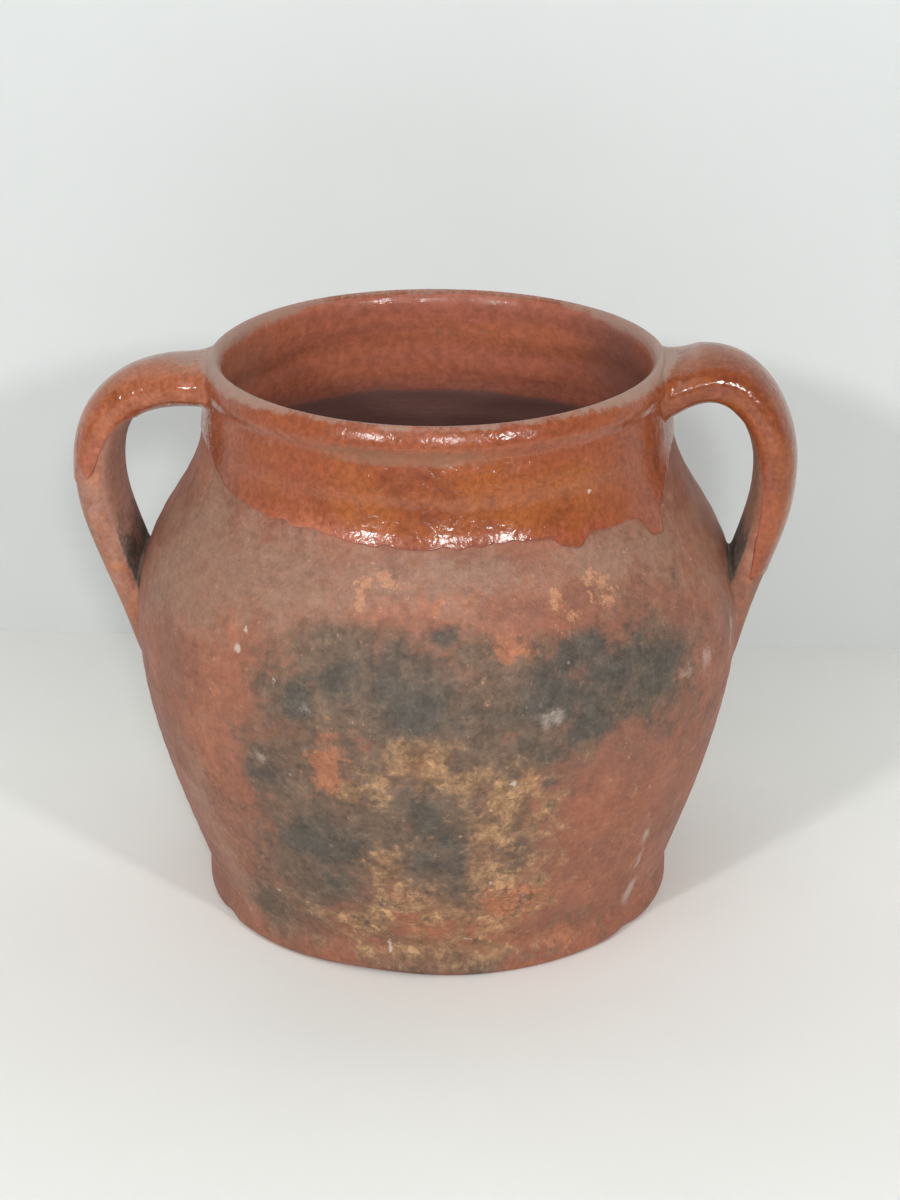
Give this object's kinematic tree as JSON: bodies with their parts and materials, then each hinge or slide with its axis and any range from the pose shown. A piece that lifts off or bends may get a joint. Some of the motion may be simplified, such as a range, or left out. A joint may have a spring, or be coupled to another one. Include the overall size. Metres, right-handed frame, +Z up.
{
  "type": "two-handled clay pot",
  "caption": "Round-bellied wheel-thrown clay pot with a wide beaded mouth, strap handles from rim to belly, and glaze on the neck, the handles and the inside.",
  "frame": {"origin": "centre of the flat base, on the surface that the pot stands on", "axes": "+Z up the pot's turning axis, +X towards the right handle, -Y towards the pictured side"},
  "size_m": [0.2534, 0.2142, 0.2024],
  "materials": {
    "clay": "unglazed red earthenware, dusty at the shoulder and smoked by fire over the belly",
    "slip": "fired luting slip",
    "outer_glaze": "glossy honey-brown lead-type glaze with pinholes, worn at the rim",
    "inner_glaze": "satin red-brown glaze with throwing rings"
  },
  "bodies": {
    "root": {"thrown_body": "clay", "left_handle": "clay", "right_handle": "clay", "left_rim_slip": "slip", "left_belly_slip": "slip", "right_rim_slip": "slip", "right_belly_slip": "slip", "neck_glaze": "outer_glaze", "left_handle_glaze": "outer_glaze", "right_handle_glaze": "outer_glaze", "lining_glaze": "inner_glaze"}
  },
  "joints": []
}
